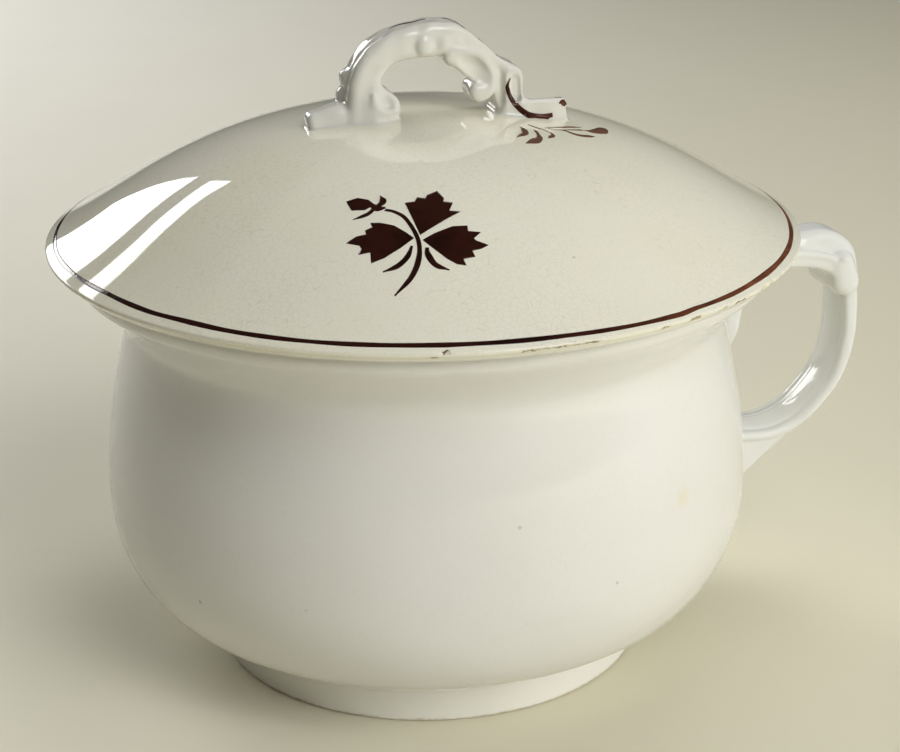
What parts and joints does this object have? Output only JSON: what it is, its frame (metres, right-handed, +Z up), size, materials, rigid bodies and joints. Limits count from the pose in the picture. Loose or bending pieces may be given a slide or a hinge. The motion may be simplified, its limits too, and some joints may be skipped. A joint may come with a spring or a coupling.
{
  "type": "chamber pot",
  "caption": "Glazed round-bellied chamber pot on a foot ring with one loop handle, and a loose domed lid with an arched branch handle and painted lustre sprigs.",
  "frame": {"origin": "On the pot's axis at table level, in the plane of the foot ring's flat underside.", "axes": "+Z up along the pot's axis, +X towards the pot's loop handle, which lies in the XZ plane together with the lid's handle."},
  "size_m": [0.2746, 0.243, 0.2107],
  "materials": {
    "glaze": "glossy warm white ironstone glaze with fine crazing",
    "foot_glaze": "glossy ironstone glaze, worn and a little stained where the pot stands",
    "lustre": "thin dark copper lustre painted over the glaze"
  },
  "bodies": {
    "pot": {"pot_bowl": "glaze", "foot_ring": "foot_glaze", "pot_handle": "glaze"},
    "lid": {"lid_dome": "glaze", "lid_flange": "glaze", "lid_handle": "glaze", "lid_band": "lustre", "lid_sprig_front": "lustre", "lid_sprig_side": "lustre"}
  },
  "joints": [
    {"name": "lid_lift", "type": "slide", "parent": "pot", "child": "lid", "axis": [0, 0, 1], "range_m": [0, 0.2]}
  ]
}
